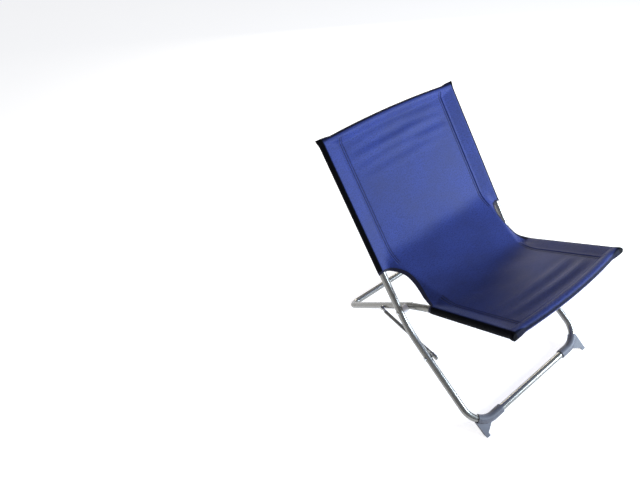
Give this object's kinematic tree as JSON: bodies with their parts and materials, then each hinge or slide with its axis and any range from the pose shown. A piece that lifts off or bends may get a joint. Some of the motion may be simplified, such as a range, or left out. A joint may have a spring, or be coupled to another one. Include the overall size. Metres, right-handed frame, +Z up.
{
  "type": "folding camp chair",
  "caption": "Low folding camp chair: two crossed bent-tube frames, a fabric sling seat and back, side stays that hook on, and plastic corner shoes.",
  "frame": {"origin": "on the floor, under the centre of the chair's box", "axes": "+Z up, -Y is the sitter's front, X runs across the chair"},
  "size_m": [0.4646, 0.6315, 0.634],
  "materials": {
    "frame_tube": "satin champagne-silver coating on round steel tube",
    "stay_steel": "satin silver coating on thin steel tube with flattened ends",
    "rivet_steel": "bright zinc plate",
    "washer_nylon": "natural nylon",
    "spacer_plastic": "white moulded plastic",
    "shoe_plastic": "grey moulded plastic",
    "cap_plastic": "black moulded plastic",
    "sling_cloth": "tightly woven coated polyester, mid blue"
  },
  "bodies": {
    "back_frame": {"back_fabric": "sling_cloth", "back_frame_tube": "frame_tube", "back_top_bar": "frame_tube", "front_shoe_left": "shoe_plastic", "front_shoe_right": "shoe_plastic", "pivot_rivet_left": "rivet_steel", "pivot_rivet_right": "rivet_steel", "pivot_spacer_left": "spacer_plastic", "pivot_spacer_right": "spacer_plastic", "sling_waist": "sling_cloth", "stay_rivet_left": "rivet_steel", "stay_rivet_right": "rivet_steel", "stay_washer_left": "washer_nylon", "stay_washer_right": "washer_nylon", "top_cap_left": "cap_plastic", "top_cap_right": "cap_plastic"},
    "seat_frame": {"hook_stud_left": "rivet_steel", "hook_stud_right": "rivet_steel", "seat_cap_left": "cap_plastic", "seat_cap_right": "cap_plastic", "seat_fabric": "sling_cloth", "seat_frame_tube": "frame_tube", "seat_front_bar": "frame_tube"},
    "stay_left": {"stay_left": "stay_steel"},
    "stay_right": {"stay_right": "stay_steel"}
  },
  "joints": [
    {"name": "seat_fold", "type": "hinge", "parent": "back_frame", "child": "seat_frame", "pos_m": [0, 0.02676, 0.22788], "axis": [-1, 0, 0], "range_deg": [0, 88], "deforming": ["sling_waist"]},
    {"name": "stay_left_lift", "type": "hinge", "parent": "back_frame", "child": "stay_left", "pos_m": [-0.204, -0.07701, 0.13579], "axis": [1, 0, 0], "range_deg": [0, 30]},
    {"name": "stay_right_lift", "type": "hinge", "parent": "back_frame", "child": "stay_right", "pos_m": [0.204, -0.07701, 0.13579], "axis": [1, 0, 0], "range_deg": [0, 30]}
  ]
}
